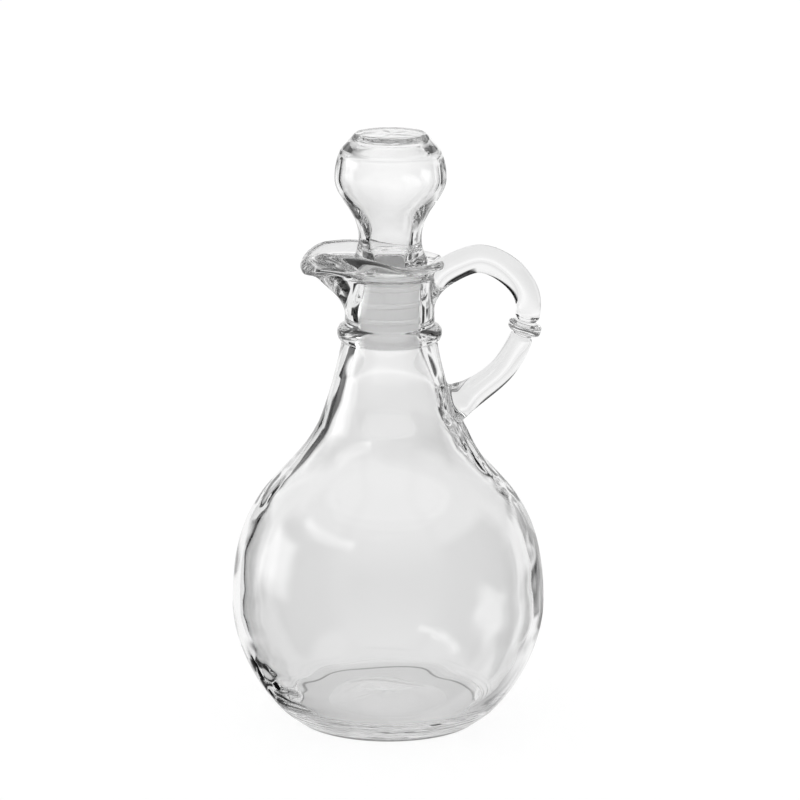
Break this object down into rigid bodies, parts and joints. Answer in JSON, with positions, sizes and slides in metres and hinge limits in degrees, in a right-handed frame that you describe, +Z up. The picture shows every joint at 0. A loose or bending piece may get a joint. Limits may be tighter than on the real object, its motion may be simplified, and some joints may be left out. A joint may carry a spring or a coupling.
{
  "type": "glass cruet",
  "caption": "Round clear glass cruet with a waisted ringed neck, pulled pouring spout, loop handle and hollow ball stopper in a seal sleeve, for oil or vinegar.",
  "frame": {"origin": "middle of the foot, on the surface the cruet stands on", "axes": "+Z up along the bottle's axis, -X towards the spout, +X towards the handle"},
  "size_m": [0.0914, 0.0914, 0.1738],
  "materials": {
    "bottle_glass": "clear fire-polished glass, slightly wavy",
    "handle_glass": "clear fire-polished glass",
    "stopper_glass": "clear pressed glass",
    "sleeve_plastic": "milky translucent polyethylene"
  },
  "bodies": {
    "bottle": {"bottle": "bottle_glass", "handle": "handle_glass"},
    "sleeve": {"stopper_sleeve": "sleeve_plastic"},
    "stopper": {"stopper": "stopper_glass"}
  },
  "joints": [
    {"name": "stopper_lift", "type": "slide", "parent": "bottle", "child": "sleeve", "axis": [0, 0, 1], "range_m": [0, 0.06]},
    {"name": "stopper_twist", "type": "hinge", "parent": "sleeve", "child": "stopper", "pos_m": [0, 0, 0.1338], "axis": [0, 0, 1], "continuous": true}
  ]
}
